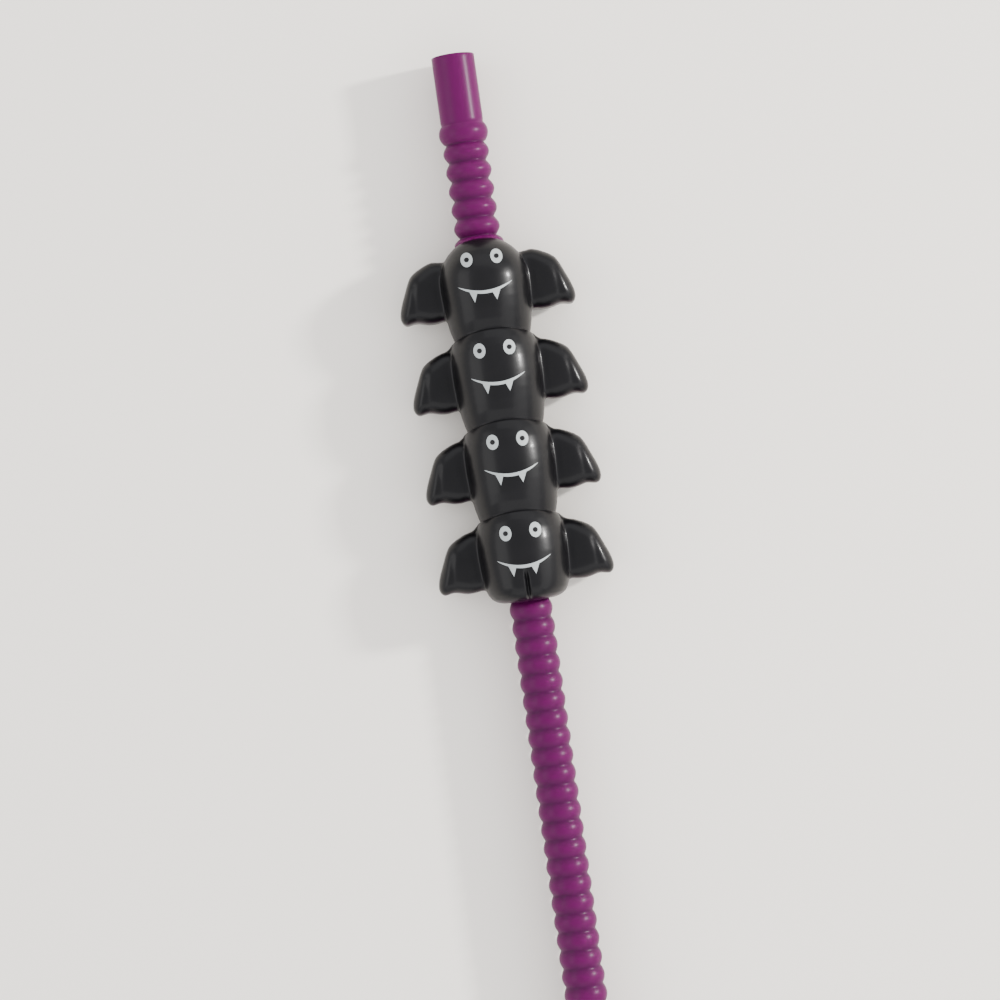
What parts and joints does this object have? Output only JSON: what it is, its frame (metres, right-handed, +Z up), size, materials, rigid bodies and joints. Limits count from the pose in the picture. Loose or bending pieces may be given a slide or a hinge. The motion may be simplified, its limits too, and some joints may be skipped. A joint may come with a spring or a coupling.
{
  "type": "novelty drinking straw",
  "caption": "Corrugated plastic drinking straw whose upper half swells into a stack of black winged bat heads with printed faces, under a plain mouthpiece.",
  "frame": {"origin": "centre of the footprint, on the surface it lies on, under the middle of its length", "axes": "+Y along the tube towards the mouthpiece, +Z up out of the faces, +X to the right of the stack seen from above with the mouthpiece up"},
  "size_m": [0.0328, 0.2, 0.0162],
  "materials": {
    "purple_polyethylene": "slightly see-through blow-moulded polyethylene",
    "black_lacquer": "gloss black lacquer sprayed on the bats",
    "white_ink": "pad-printed off-white ink of the faces"
  },
  "bodies": {
    "root": {"bat_straw": "purple_polyethylene"}
  },
  "joints": []
}
